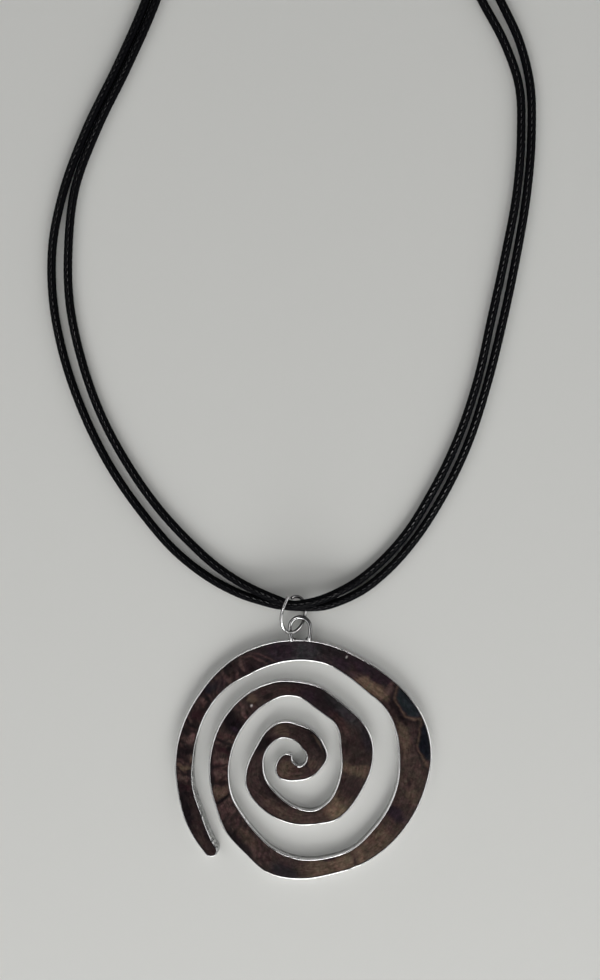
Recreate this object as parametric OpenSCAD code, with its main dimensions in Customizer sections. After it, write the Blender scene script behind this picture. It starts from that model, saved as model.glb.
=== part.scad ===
// Spiral pendant on a doubled cord, lying flat: a broad hand-cut spiral with a wire
// loop soldered to its top edge, a jump ring, two strands of cord and a plain clasp.
// Millimetres. The surface that it lies on is Z = 0, +X is the wearer's left as the
// pendant is seen from the front, and +Y runs from the pendant up to the clasp.

/* [Spiral] */
// Thickness of the spiral plate
plate_t = 2; // [1.8:0.1:3]
// Width of the bright rounded rim outside each edge of the polished face
rim_w = 0.35; // [0.2:0.05:0.6]
// How far the inner tip is rounded out past its last section
tip_round = 0.4; // [0.3:0.1:1.2]
// How far the tail is rounded out past its last section
tail_round = 1.8; // [0.5:0.1:2]
// Turned angle between two sections of the drawn outline
section_step = 4; // [2:1:10]

/* [Wire loop] */
// Diameter of the wire that the loop is bent from
loop_wire_d = 0.9; // [0.7:0.05:1]
// Radius of the loop, to the middle of its wire
loop_r = 2.2; // [2:0.1:2.4]
// Height of the loop's wire above the surface
loop_z = 1.5; // [1.4:0.05:1.6]
// Diameter of the solder at each foot
solder_d = 1.2; // [1:0.1:1.6]

/* [Jump ring] */
// Diameter of the ring's wire
ring_wire_d = 0.7; // [0.6:0.05:0.9]
// Radius of the ring, to the middle of its wire
ring_r = 4; // [3.9:0.1:4.2]
// Angle by which the ring leans, left side up
ring_tilt = 50; // [47:1:52]
// Angle by which the ring is turned clockwise, seen from above
ring_turn = 10; // [8:1:13]
// Gap left at the ring's cut
ring_gap = 0.5; // [0.3:0.1:0.8]

/* [Cord] */
// Diameter of one strand
cord_d = 1.85; // [1.6:0.05:1.85]

/* [Clasp] */
// Diameter of the cups that hold the strands
cup_d = 5.4; // [5:0.1:5.4]
// Length of one cup
cup_len = 4.5; // [3:0.5:6]
// Diameter of the barrel between the cups
barrel_d = 4.4; // [3:0.1:4.8]

/* [Hidden] */
$fn = 64;

// Middle of the spiral, which puts the pendant and its ring centrally about the origin
eye = [-0.75, -4.3];

// Sections of the spiral band, measured from its eye and counted anticlockwise.
// Each row: turned angle, radius of the face's inner edge, radius of its outer edge
band = [
    [172, 2.0, 3.2], [180, 2.0, 4.0], [210, 2.1, 6.0], [225, 2.1, 6.3],
    [240, 2.2, 5.8], [270, 2.3, 5.0], [330, 1.8, 5.1], [360, 1.7, 5.8],
    [390, 1.7, 5.7], [435, 2.1, 6.4], [450, 2.7, 6.8], [480, 4.8, 8.6],
    [495, 6.0, 9.0], [525, 7.5, 9.6], [540, 8.1, 10.6], [555, 8.6, 12.1],
    [570, 9.1, 13.4], [600, 9.9, 14.1], [630, 11.7, 14.8], [645, 12.4, 15.1],
    [660, 12.0, 15.8], [690, 10.2, 15.3], [720, 9.3, 15.9], [735, 9.4, 16.0],
    [750, 10.2, 15.5], [765, 10.8, 14.9], [780, 10.9, 15.0], [795, 11.6, 15.8],
    [810, 13.2, 16.3], [825, 14.0, 17.1], [840, 14.0, 17.6], [870, 14.3, 18.5],
    [900, 15.5, 19.6], [930, 17.5, 21.3], [945, 18.2, 23.0], [960, 19.5, 24.2],
    [975, 21.4, 26.3], [990, 22.7, 26.7], [1005, 23.2, 26.6], [1020, 23.5, 27.1],
    [1035, 22.9, 27.5], [1065, 22.4, 28.2], [1080, 22.0, 28.7], [1095, 22.0, 28.4],
    [1110, 21.7, 27.2], [1125, 20.7, 25.9], [1140, 20.8, 25.2], [1155, 21.4, 25.3],
    [1200, 21.4, 25.9], [1215, 22.2, 25.9], [1230, 22.8, 26.0], [1260, 23.5, 27.2],
    [1275, 24.3, 27.7], [1290, 24.8, 28.8], [1306, 26.7, 29.6]
];
// Columns of the table above
angle_col = 0;
inner_col = 1;
outer_col = 2;
first_angle = band[0][angle_col];
last_angle = band[len(band) - 1][angle_col];

// Wire loop: middle of its round top, and where its two feet enter the plate
loop_mid = [-0.75, 24.15];
foot_left = [-2.6, 21.1];
foot_right = [1.3, 21.1];
solder_len = 0.9;
// The bends are a little fuller than the wire, as bent wire is
bend_d = loop_wire_d + 0.06;

// Jump ring: its middle, at the height where its low side touches the surface
ring_mid = [-2.15, 27.15, ring_r * sin(ring_tilt) + ring_wire_d / 2];
// The ring is sprung a little open. Counted round it from its low side: where its plain
// end stops at the cut, and where the other end starts to stand off on a wider bend.
ring_cut = 116;
spring_from = 172;
spring_r = 9;
gap_angle = ring_gap / ring_r * 180 / PI;
// The join between the two bends is a little fuller than the wire
join_d = ring_wire_d + 0.04;

// Route of each strand: from the clasp down the left side, through the ring and back
// up the right side. The strands lie side by side, and one rides over the other at the ring.
route_inner = [
    [-5, 208.45, 2.7], [-11.6, 206.6, 2], [-17.6, 201.9, 1.2], [-22.7, 194, 0.93],
    [-26.6, 183, 0.93], [-32.5, 162.6, 0.93], [-38.7, 148.3, 0.93], [-45.7, 133.9, 0.93],
    [-50.5, 120.7, 0.93], [-51.9, 108.5, 0.93], [-51.7, 96.4, 0.93], [-49, 83.1, 0.93],
    [-44.7, 71, 0.93], [-38.8, 60, 0.93], [-31.4, 49.6, 0.93], [-25.5, 43.2, 0.93],
    [-18.4, 36.9, 1.1], [-13.2, 33.6, 1.6], [-9.6, 31.9, 2.4], [-6, 30.5, 3.4],
    [-2.5, 29.4, 4.2], [1, 29.8, 4.5], [4.5, 30.7, 3.7], [8, 32.1, 2.2],
    [11.7, 34.1, 1.2], [16.9, 38.3, 0.93], [22.2, 44.1, 0.93], [27.9, 53, 0.93],
    [34, 65.4, 0.93], [38.3, 78, 0.93], [41.5, 92, 0.93], [44.6, 106.3, 0.93],
    [47.2, 120.5, 0.93], [48.1, 133, 0.93], [47.6, 143.9, 0.93], [44.5, 153, 0.93],
    [39.4, 162.6, 0.93], [32, 177.5, 0.93], [27.2, 191.5, 0.93], [22.8, 200.1, 1.2],
    [17.3, 206.2, 2], [11, 208.45, 2.7]
];
route_outer = [
    [-5, 210.55, 2.7], [-12.2, 208.8, 2], [-19.2, 203.7, 1.2], [-24.8, 195, 0.93],
    [-28.7, 183.6, 0.93], [-34.8, 162.6, 0.93], [-41, 148.3, 0.93], [-48, 133.9, 0.93],
    [-52.9, 120.7, 0.93], [-55.4, 108.5, 0.93], [-55.3, 96.4, 0.93], [-52.7, 83.1, 0.93],
    [-48.4, 71, 0.93], [-42.9, 60, 0.93], [-35.8, 49.6, 0.93], [-27.2, 39.9, 0.93],
    [-18.4, 33.6, 0.93], [-12.8, 31, 0.93], [-9.2, 29.9, 1.2], [-5.9, 29.1, 1.6],
    [-2.5, 28.8, 2.2], [1, 28.7, 2.6], [4.5, 28.9, 2.4], [8, 29.9, 1.7],
    [12.9, 32.2, 1.1], [18.7, 36.8, 0.93], [24, 42.7, 0.93], [30, 51.7, 0.93],
    [36.3, 64.5, 0.93], [40.5, 77.4, 0.93], [44, 91.4, 0.93], [47, 105.7, 0.93],
    [49.4, 120.2, 0.93], [50.4, 133.2, 0.93], [50, 144.5, 0.93], [47.7, 153.5, 0.93],
    [43.5, 162.6, 0.93], [35.3, 179.3, 0.93], [29.4, 192.4, 0.93], [24.8, 201.8, 1.2],
    [18.9, 208.3, 2], [11, 210.55, 2.7]
];
cord_sides = 8;

// Clasp: it fills the gap between the strands' two ends, with its axis midway between them
left_end = (route_inner[0] + route_outer[0]) / 2;
right_end = (route_inner[len(route_inner) - 1] + route_outer[len(route_outer) - 1]) / 2;
clasp_len = norm(right_end - left_end);
clasp_mid = (left_end + right_end) / 2;
cup_edge = 0.3;

// Both ends of a strand meet the clasp squarely, travelling along -X
end_heading = [-1, 0, 0];

function unit(v) = v / norm(v);

// Row of the table at or before an angle
function row_at(angle) =
    max([for (i = [0 : len(band) - 2]) if (band[i][angle_col] <= angle) i]);

// Slope of a column at a row, taken from the rows on both sides of it
function slope(i, col) =
    let (before = max(i - 1, 0), after = min(i + 1, len(band) - 1))
    (band[after][col] - band[before][col]) / (band[after][angle_col] - band[before][angle_col]);

// Radius of an edge at an angle: a cubic between two rows that keeps the slope at each
function edge_r(angle, col) =
    let (
        i = row_at(angle),
        span = band[i + 1][angle_col] - band[i][angle_col],
        t = (angle - band[i][angle_col]) / span,
        from_r = band[i][col],
        to_r = band[i + 1][col],
        from_slope = slope(i, col) * span,
        to_slope = slope(i + 1, col) * span
    )
    (2 * t ^ 3 - 3 * t ^ 2 + 1) * from_r + (t ^ 3 - 2 * t ^ 2 + t) * from_slope
    + (3 * t ^ 2 - 2 * t ^ 3) * to_r + (t ^ 3 - t ^ 2) * to_slope;

function polar(r, angle) = r * [cos(angle), sin(angle)];

// Points of one edge of the plate, the rim included
function plate_edge(angles, col, rim) = [for (a = angles) polar(edge_r(a, col) + rim, a)];

// Rounded end of the band: half an ellipse across it at an angle, bulging by a length.
// It runs from the outer edge to the inner one.
function band_end(angle, bulge) =
    let (
        low = edge_r(angle, inner_col) - rim_w,
        high = edge_r(angle, outer_col) + rim_w,
        middle = (high + low) / 2,
        half = (high - low) / 2,
        ahead = [-sin(angle), cos(angle)]
    )
    [for (s = [20 : 20 : 160]) polar(middle + half * cos(s), angle) + ahead * bulge * sin(s)];

function reversed(list) = [for (i = [len(list) - 1 : -1 : 0]) list[i]];

// Whole outline: out along the outer edge, round the tail, back along the inner edge
// and round the tip
function band_outline() =
    let (angles = [for (a = [first_angle : section_step : last_angle - section_step / 2]) a, last_angle])
    concat(
        plate_edge(angles, outer_col, rim_w),
        band_end(last_angle, tail_round),
        reversed(plate_edge(angles, inner_col, -rim_w)),
        reversed(band_end(first_angle, -tip_round))
    );

// Heading of a route at one of its points
function heading(route, i) =
    (i == 0 || i == len(route) - 1) ? end_heading : unit(route[i + 1] - route[i - 1]);

// Ring of points round a route at one of its points, its first point lowest
function cord_ring(route, i) =
    let (
        along = heading(route, i),
        side = unit(cross([0, 0, 1], along)),
        up = cross(along, side)
    )
    [for (k = [0 : cord_sides - 1])
        let (a = 360 * k / cord_sides)
        route[i] + cord_d / 2 * (side * sin(a) - up * cos(a))];

// Round bar from one point to another
module bar(from, to, d_from, d_to) {
    run = to - from;
    translate(from)
        rotate([0, acos(run[2] / norm(run)), atan2(run[1], run[0])])
            cylinder(h = norm(run), d1 = d_from, d2 = d_to);
}

// Closed tube along a route, in flat triangles, with a flat face at each end
module cord_tube(route) {
    rings = len(route);
    points = [for (i = [0 : rings - 1]) each cord_ring(route, i)];
    walls = [
        for (i = [0 : rings - 2], k = [0 : cord_sides - 1])
            let (
                here = i * cord_sides,
                there = here + cord_sides,
                next = (k + 1) % cord_sides
            )
            each [
                [here + k, there + k, there + next],
                [here + k, there + next, here + next]
            ]
    ];
    start_face = [for (k = [0 : cord_sides - 1]) k];
    end_face = [for (k = [cord_sides - 1 : -1 : 0]) (rings - 1) * cord_sides + k];
    polyhedron(points = points, faces = concat([start_face], walls, [end_face]));
}

module spiral_plate() {
    translate(eye)
        linear_extrude(height = plate_t)
            polygon(band_outline());
}

// Half ring of wire with two legs that run down into the plate's top edge
module wire_loop() {
    shoulder_left = [loop_mid[0] - loop_r, loop_mid[1], loop_z];
    shoulder_right = [loop_mid[0] + loop_r, loop_mid[1], loop_z];
    translate([loop_mid[0], loop_mid[1], loop_z])
        rotate_extrude(angle = 180)
            translate([loop_r, 0])
                circle(d = loop_wire_d);
    for (leg = [[shoulder_left, foot_left], [shoulder_right, foot_right]]) {
        foot = [leg[1][0], leg[1][1], loop_z];
        bar(leg[0], foot, loop_wire_d, loop_wire_d);
        bar(foot, foot + solder_len * unit(leg[0] - foot), solder_d, loop_wire_d);
        translate(leg[0])
            sphere(d = bend_d);
    }
}

module spiral_pendant() {
    color([0.27, 0.18, 0.15]) {
        spiral_plate();
        wire_loop();
    }
}

// Bend of wire about the origin, from one angle through another
module wire_bend(from, through, r, d) {
    rotate([0, 0, from])
        rotate_extrude(angle = through)
            translate([r, 0])
                circle(d = d);
}

// The ring in its own plane, its low side along +X
module flat_ring() {
    spring_angle = (spring_from - ring_cut - gap_angle) * ring_r / spring_r;
    wire_bend(spring_from, 360 + ring_cut - spring_from, ring_r, ring_wire_d);
    translate(polar(ring_r - spring_r, spring_from))
        wire_bend(spring_from - spring_angle, spring_angle, spring_r, ring_wire_d);
    translate(polar(ring_r, spring_from))
        sphere(d = join_d);
}

module jump_ring() {
    color("silver")
        translate(ring_mid)
            rotate([0, 0, -ring_turn])
                rotate([0, ring_tilt, 0])
                    flat_ring();
}

module cord_inner() {
    color([0.06, 0.06, 0.07])
        cord_tube(route_inner);
}

module cord_outer() {
    color([0.06, 0.06, 0.07])
        cord_tube(route_outer);
}

// Two cups on a barrel, turned in one piece, its axis lying along X
module clasp() {
    half = clasp_len / 2;
    color("silver")
        translate(clasp_mid)
            rotate([0, 90, 0])
                rotate_extrude()
                    polygon([
                        [0, -half], [cup_d / 2 - cup_edge, -half],
                        [cup_d / 2, cup_edge - half], [cup_d / 2, cup_len - half],
                        [barrel_d / 2, cup_len - half + cup_edge],
                        [barrel_d / 2, half - cup_len - cup_edge],
                        [cup_d / 2, half - cup_len], [cup_d / 2, half - cup_edge],
                        [cup_d / 2 - cup_edge, half], [0, half]
                    ]);
}

spiral_pendant();
jump_ring();
cord_inner();
cord_outer();
clasp();
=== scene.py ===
import math

import bpy
import bmesh
import numpy as np
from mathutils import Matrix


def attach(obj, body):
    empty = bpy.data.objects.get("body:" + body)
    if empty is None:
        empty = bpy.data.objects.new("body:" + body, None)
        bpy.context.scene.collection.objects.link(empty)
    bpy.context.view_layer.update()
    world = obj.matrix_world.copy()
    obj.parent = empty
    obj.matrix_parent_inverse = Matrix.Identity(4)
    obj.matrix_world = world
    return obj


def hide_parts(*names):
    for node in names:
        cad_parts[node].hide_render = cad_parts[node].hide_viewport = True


# Spiral pendant on a doubled braided cord, lying flat and seen from straight above.
# Tables are in millimetres, as in the part's source; meshes are in metres.
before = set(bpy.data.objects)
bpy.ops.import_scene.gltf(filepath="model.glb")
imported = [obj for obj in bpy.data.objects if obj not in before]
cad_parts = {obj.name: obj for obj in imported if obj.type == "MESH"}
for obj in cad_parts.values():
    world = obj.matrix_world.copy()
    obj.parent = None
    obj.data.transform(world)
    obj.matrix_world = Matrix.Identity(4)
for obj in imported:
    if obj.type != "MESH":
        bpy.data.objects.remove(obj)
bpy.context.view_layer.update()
mm = 0.001
body = "root"
print("frame loaded")


def newObject(name, data):
    # An object that is linked to the scene
    added = bpy.data.objects.new(name, data)
    bpy.context.scene.collection.objects.link(added)
    return added


# Camera: straight above, with the top of the picture towards the clasp

cameraView = {
    "place": (-0.75, 54.4, 250),  # millimetres
    "tall": 217.3,                # height of the view at the surface
    "sensor": 36,
}


def makeCamera(view):
    # The sensor spans the long side of the picture, so the lens is the sensor times the distance,
    # over the height of the view.
    data = bpy.data.cameras.new("camera")
    data.sensor_width = view["sensor"]
    data.lens = view["sensor"] * view["place"][2] / view["tall"]
    data.clip_start = 0.01
    data.clip_end = 20
    camera = newObject("camera", data)
    camera.location = [value * mm for value in view["place"]]
    bpy.context.scene.camera = camera


makeCamera(cameraView)
print("camera made")


# Shapes

def unit(vectors):
    # Each vector divided by its own length
    return vectors / np.linalg.norm(vectors, axis=-1, keepdims=True)


def circle(turn):
    # Points at the given angles on a circle of radius 1
    return np.stack([np.cos(turn), np.sin(turn)], -1)


def cubic(t, start, stop, startSlope, stopSlope):
    # The cubic from start to stop, for t from 0 to 1, that has the given slopes at its ends
    return ((2 * t**3 - 3 * t**2 + 1) * start + (t**3 - 2 * t**2 + t) * startSlope
            + (3 * t**2 - 2 * t**3) * stop + (t**3 - t**2) * stopSlope)


def smoothLine(points, step, ends=None):
    # A line through the points, in equal steps. Between two points it is the cubic that keeps the
    # heading at both, and the heading at a point is the mean of its two straights, where the
    # shorter straight counts more. ends gives the heading at both ends.
    points = np.array(points, float)
    straight = np.diff(points, axis=0)
    gap = np.linalg.norm(straight, axis=1)[:, None]
    chord = straight / gap
    middle = (chord[:-1] * gap[1:] + chord[1:] * gap[:-1]) / (gap[1:] + gap[:-1])
    first, last = (chord[:1], chord[-1:]) if ends is None else (np.array([ends]), np.array([ends]))
    heading = np.vstack([first, middle, last])[:, None]
    t = np.linspace(0, 1, 60, endpoint=False)[None, :, None]
    gap = gap[:, None]
    fine = cubic(t, points[:-1, None], points[1:, None], gap * heading[:-1], gap * heading[1:])
    fine = np.vstack([fine.reshape(-1, 3), points[-1:]])
    along = np.concatenate([[0], np.cumsum(np.linalg.norm(np.diff(fine, axis=0), axis=1))])
    at = np.linspace(0, along[-1], max(2, round(along[-1] / step) + 1))
    return np.stack([np.interp(at, along, fine[:, axis]) for axis in range(3)], 1), at


def tubeRings(line, radius, upward):
    # Rings round a line: point k of a ring lies at its radius from the line, turned by k shares of
    # a full turn from the lowest point, in the plane that is square to the line.
    along = unit(np.gradient(line, axis=0))
    side = unit(np.cross(np.broadcast_to(upward, along.shape), along))
    up = np.cross(along, side)
    turn = np.arange(radius.shape[1]) / radius.shape[1] * 2 * np.pi
    spread = side[:, None] * np.sin(turn)[None, :, None] - up[:, None] * np.cos(turn)[None, :, None]
    return line[:, None] + radius[..., None] * spread


def roundCorners(rows, reach, samples=6):
    # A line of straights whose corners are each a parabola from a point at the given reach before
    # the corner to a point at the same reach after it.
    rows = np.array(rows, float)
    before = unit(rows[:-2] - rows[1:-1]) * reach
    after = unit(rows[2:] - rows[1:-1]) * reach
    t = np.linspace(0, 1, samples)[None, :, None]
    corner = rows[1:-1, None]
    bent = corner + before[:, None] * (1 - t) ** 2 + after[:, None] * t**2
    return np.vstack([rows[:1], bent.reshape(-1, rows.shape[1]), rows[-1:]])


def closedEnds(rings):
    # Adds a ring at both ends whose points all lie at the middle of the end ring
    ends = rings[:1], rings[-1:]
    first, last = (np.broadcast_to(ring.mean(1, keepdims=True), ring.shape) for ring in ends)
    return np.concatenate([first, rings, last])


def skin(name, grid, materials, uv=None, slots=None, attributes=None):
    # Turns a grid of points (row, column) into a mesh. Each point is joined to the next in its row,
    # the last to the first, and to the same column of the next row. uv holds a pair for each point
    # and one more column, so that the pattern can close round the piece.
    rows, columns = grid.shape[:2]
    row, column = np.meshgrid(np.arange(rows - 1), np.arange(columns), indexing="ij")
    following = (column + 1) % columns
    quads = np.stack([row * columns + column, row * columns + following,
                      (row + 1) * columns + following, (row + 1) * columns + column], -1).reshape(-1, 4)
    mesh = bpy.data.meshes.new(name)
    mesh.vertices.add(rows * columns)
    mesh.vertices.foreach_set("co", (grid * mm).astype(np.float32).ravel())
    mesh.loops.add(quads.size)
    mesh.loops.foreach_set("vertex_index", quads.astype(np.int32).ravel())
    mesh.polygons.add(len(quads))
    mesh.polygons.foreach_set("loop_start", np.arange(0, quads.size, 4, dtype=np.int32))
    mesh.update(calc_edges=True)
    if uv is not None:
        layer = mesh.uv_layers.new(name="pattern")
        corners = np.stack([uv[row, column], uv[row, column + 1],
                            uv[row + 1, column + 1], uv[row + 1, column]], -2)
        layer.data.foreach_set("uv", corners.astype(np.float32).ravel())
    for label, values in (attributes or {}).items():
        colour = mesh.color_attributes.new(name=label, type="FLOAT_COLOR", domain="POINT")
        colour.data.foreach_set("color", values.astype(np.float32).ravel())
    for material in materials:
        mesh.materials.append(material)
    if slots is not None:
        slots = np.broadcast_to(slots, row.shape).astype(np.int32)
        mesh.polygons.foreach_set("material_index", slots.ravel())
    work = bmesh.new()
    work.from_mesh(mesh)
    bmesh.ops.remove_doubles(work, verts=work.verts, dist=1e-7)
    bmesh.ops.dissolve_degenerate(work, dist=1e-8, edges=work.edges)
    if work.calc_volume(signed=True) < 0:
        bmesh.ops.reverse_faces(work, faces=work.faces)
    work.to_mesh(mesh)
    work.free()
    mesh.polygons.foreach_set("use_smooth", np.ones(len(mesh.polygons), bool))
    mesh.update()
    return newObject(name, mesh)


def joined(name, pieces):
    # Puts several pieces in one mesh
    bpy.ops.object.select_all(action="DESELECT")
    for piece in pieces:
        piece.select_set(True)
    bpy.context.view_layer.objects.active = pieces[0]
    bpy.ops.object.join()
    pieces[0].name = name
    pieces[0].data.name = name
    return pieces[0]


def ripple(x, y, seed, longest, shortest, count=14):
    # Smooth unevenness from -1 to 1: a sum of waves of random heading and phase, whose lengths run
    # evenly from the longest to the shortest.
    dice = np.random.default_rng(seed)
    total = np.zeros(np.broadcast(x, y).shape)
    for wave in np.geomspace(longest, shortest, count):
        heading, phase = dice.uniform(0, 2 * np.pi, 2)
        total += np.sin(2 * np.pi * (x * math.cos(heading) + y * math.sin(heading)) / wave + phase)
    return total / math.sqrt(count)


# Shader groups shared by several finishes

def nodeGroup(name, inputs, outputs):
    # An empty group with named sockets. Its inputs have a kind each, and its outputs are numbers.
    tree = bpy.data.node_groups.new(name, "ShaderNodeTree")
    for label, kind in inputs.items():
        tree.interface.new_socket(name=label, in_out="INPUT", socket_type="NodeSocket" + kind)
    for label in outputs:
        tree.interface.new_socket(name=label, in_out="OUTPUT", socket_type="NodeSocketFloat")
    return tree, tree.nodes.new("NodeGroupInput").outputs, tree.nodes.new("NodeGroupOutput")


def newNode(kind, *values):
    # A node in the tree of the first socket among the values
    tree = next(value.id_data for value in values if isinstance(value, bpy.types.NodeSocket))
    return tree.nodes.new(kind)


def plug(socket, value):
    # Joins a socket to another one, or sets its number
    if isinstance(value, bpy.types.NodeSocket):
        socket.id_data.links.new(value, socket)
    else:
        socket.default_value = value


def feed(node, values):
    # Fills the named sockets of a shader or a group
    for label, value in values.items():
        plug(node.inputs[label], value)


def calc(operation, *values):
    # A sum on numbers or sockets
    node = newNode("ShaderNodeMath", *values)
    node.operation = operation
    for socket, value in zip(node.inputs, values):
        plug(socket, value)
    return node.outputs[0]


def times(*values):
    return calc("MULTIPLY", *values)


def plus(*values):
    return calc("ADD", *values)


def minus(*values):
    return calc("SUBTRACT", *values)


def objectPlace(tree):
    # Place on the piece itself, in metres
    return tree.nodes.new("ShaderNodeTexCoord").outputs["Object"]


def patternPlace(tree):
    # Place in the piece's own pattern
    node = tree.nodes.new("ShaderNodeUVMap")
    node.uv_map = "pattern"
    return node.outputs["UV"]


def painted(tree, name):
    # What was stored on the mesh under a name
    node = tree.nodes.new("ShaderNodeAttribute")
    node.attribute_name = name
    return node.outputs


def axes(vector):
    # X, Y and Z of a vector
    node = newNode("ShaderNodeSeparateXYZ", vector)
    plug(node.inputs[0], vector)
    return node.outputs


def scaled(vector, scale):
    # A vector stretched along its axes
    node = newNode("ShaderNodeMapping", vector)
    feed(node, {"Vector": vector, "Scale": scale})
    return node.outputs["Vector"]


def noise(vector, scale, detail=4.0, rough=0.55, twist=0.0):
    # Cloudy noise from 0 to 1
    node = newNode("ShaderNodeTexNoise", vector)
    feed(node, {"Vector": vector, "Scale": scale, "Detail": detail, "Roughness": rough,
                "Distortion": twist})
    return node.outputs["Fac"]


def between(value, fromLow, fromHigh, toLow=0.0, toHigh=1.0):
    # A straight ramp from one range to another, level past its ends
    node = newNode("ShaderNodeMapRange", value)
    feed(node, {"Value": value, "From Min": fromLow, "From Max": fromHigh, "To Min": toLow,
                "To Max": toHigh})
    return node.outputs["Result"]


def blended(kind, share, first, second):
    # Two colours mixed, or the one multiplied by the other
    node = newNode("ShaderNodeMix", share, first, second)
    node.data_type = "RGBA"
    node.blend_type = kind
    colourInputs = [socket for socket in node.inputs if socket.type == "RGBA"]
    plug(node.inputs["Factor"], share)
    plug(colourInputs[0], first)
    plug(colourInputs[1], second)
    return [socket for socket in node.outputs if socket.type == "RGBA"][0]


def bumped(height, distance, strength):
    # The surface's direction, bent by a height
    node = newNode("ShaderNodeBump", height)
    feed(node, {"Height": height, "Distance": distance, "Strength": strength})
    return node.outputs["Normal"]


def polishGroup():
    # Marks that hand polishing leaves: soft waves, fine hairlines and a few pits
    tree, given, result = nodeGroup("hand polish", {"Vector": "Vector", "Scale": "Float"}, ["Height", "Wear"])
    place, scale = given["Vector"], given["Scale"]
    waves = noise(place, times(scale, 260.0), 2.0)
    lines = noise(scaled(place, (1.0, 7.0, 3.0)), times(scale, 900.0), 3.0)
    pits = noise(place, times(scale, 1500.0), 2.0)
    pitted = between(pits, 0.68, 0.76)
    height = plus(times(waves, 0.7), times(lines, 0.3))
    feed(result, {"Height": minus(height, times(pitted, 0.2)), "Wear": between(waves, 0.35, 0.7)})
    return tree


def grainGroup():
    # Long streaks that follow the band, crossed by a faint mottle
    tree, given, result = nodeGroup("streaky grain", {"Vector": "Vector"}, ["Streaks", "Mottle"])
    streaks = noise(scaled(given["Vector"], (1.0, 2.2, 1.0)), 2.6, 6.0, 0.62, 1.6)
    mottle = noise(scaled(given["Vector"], (2.2, 1.1, 1.0)), 4.6, 5.0, 0.6, 0.9)
    feed(result, {"Streaks": streaks, "Mottle": mottle})
    return tree


def placed(tree, group, **values):
    # The outputs of a group that is placed in a material with its own values
    node = tree.nodes.new("ShaderNodeGroup")
    node.node_tree = group
    feed(node, values)
    return node.outputs


def newMaterial(name):
    # A plain material with its tree and its shader
    material = bpy.data.materials.new(name)
    material.use_nodes = True
    tree = material.node_tree
    return material, tree, tree.nodes["Principled BSDF"]


handPolish = polishGroup()
streakyGrain = grainGroup()


# Cords: two strands of round braid

cords = {
    "thick": 1.85,
    "pitch": 18,        # length in which a thread goes once round the strand
    "threads": 12,      # threads that go round each way
    "relief": 0.06,     # how far a thread stands out
    "gap": 0.6,         # share of the relief that lies inside the nominal surface
    "topShare": (0.02, 0.06),     # from the top, in turns: where the rubbed wax starts to fade and ends
    "around": 48,       # points in a ring
    "step": 0.24,       # from ring to ring
    "endHeading": (-1, 0, 0),
    "intoCup": 0.7,     # how far an end goes on into the clasp's cup
    "black": (0.0012, 0.0012, 0.0018, 1),
    # Threads are painted a little lighter than the gaps: painted sheen on the threads, painted shade in the
    # gaps
    "threadSheen": (0.004, 0.004, 0.0055, 1),
    "lying": 0.93,      # height of a point of the route that gives none
    "inner": [
        (-5, 208.45, 2.7), (-11.6, 206.6, 2), (-17.6, 201.9, 1.2), (-22.7, 194), (-26.6, 183),
        (-32.5, 162.6), (-38.7, 148.3), (-45.7, 133.9), (-50.5, 120.7), (-51.9, 108.5), (-51.7, 96.4),
        (-49, 83.1), (-44.7, 71), (-38.8, 60), (-31.4, 49.6), (-25.5, 43.2), (-18.4, 36.9, 1.1),
        (-13.2, 33.6, 1.6), (-9.6, 31.9, 2.4), (-6, 30.5, 3.4), (-2.5, 29.4, 4.2), (1, 29.8, 4.5),
        (4.5, 30.7, 3.7), (8, 32.1, 2.2), (11.7, 34.1, 1.2), (16.9, 38.3), (22.2, 44.1), (27.9, 53),
        (34, 65.4), (38.3, 78), (41.5, 92), (44.6, 106.3), (47.2, 120.5), (48.1, 133), (47.6, 143.9),
        (44.5, 153), (39.4, 162.6), (32, 177.5), (27.2, 191.5), (22.8, 200.1, 1.2), (17.3, 206.2, 2),
        (11, 208.45, 2.7),
    ],
    "outer": [
        (-5, 210.55, 2.7), (-12.2, 208.8, 2), (-19.2, 203.7, 1.2), (-24.8, 195), (-28.7, 183.6),
        (-34.8, 162.6), (-41, 148.3), (-48, 133.9), (-52.9, 120.7), (-55.4, 108.5), (-55.3, 96.4),
        (-52.7, 83.1), (-48.4, 71), (-42.9, 60), (-35.8, 49.6), (-27.2, 39.9), (-18.4, 33.6),
        (-12.8, 31), (-9.2, 29.9, 1.2), (-5.9, 29.1, 1.6), (-2.5, 28.8, 2.2), (1, 28.7, 2.6),
        (4.5, 28.9, 2.4), (8, 29.9, 1.7), (12.9, 32.2, 1.1), (18.7, 36.8), (24, 42.7), (30, 51.7),
        (36.3, 64.5), (40.5, 77.4), (44, 91.4), (47, 105.7), (49.4, 120.2), (50.4, 133.2), (50, 144.5),
        (47.7, 153.5), (43.5, 162.6), (35.3, 179.3), (29.4, 192.4), (24.8, 201.8, 1.2), (18.9, 208.3, 2),
        (11, 210.55, 2.7),
    ],
}


def braidHeight(turns, lengths):
    # Height of a two-over-two braid, 0 in the gaps and 1 on the threads. One set of threads climbs
    # and the other falls; where they cross, the set on top changes every second thread. A thread
    # is a half wave across itself, and dips at both ends of each stretch on top.
    climbing = cords["threads"] * (turns + lengths)
    falling = cords["threads"] * (turns - lengths)
    firstRow, secondRow = np.floor(climbing), np.floor(falling)
    climbOnTop = np.mod(firstRow + secondRow, 4) < 2
    across = np.where(climbOnTop, climbing - firstRow, falling - secondRow)
    onClimb = np.mod(falling + firstRow, 4) / 2
    onFall = (np.mod(climbing + secondRow, 4) - 2) / 2
    stretch = np.clip(np.where(climbOnTop, onClimb, onFall), 0, 1)
    return np.sqrt(np.sin(np.pi * across)) * (0.35 + 0.65 * np.sin(np.pi * stretch) ** 0.6)


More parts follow.
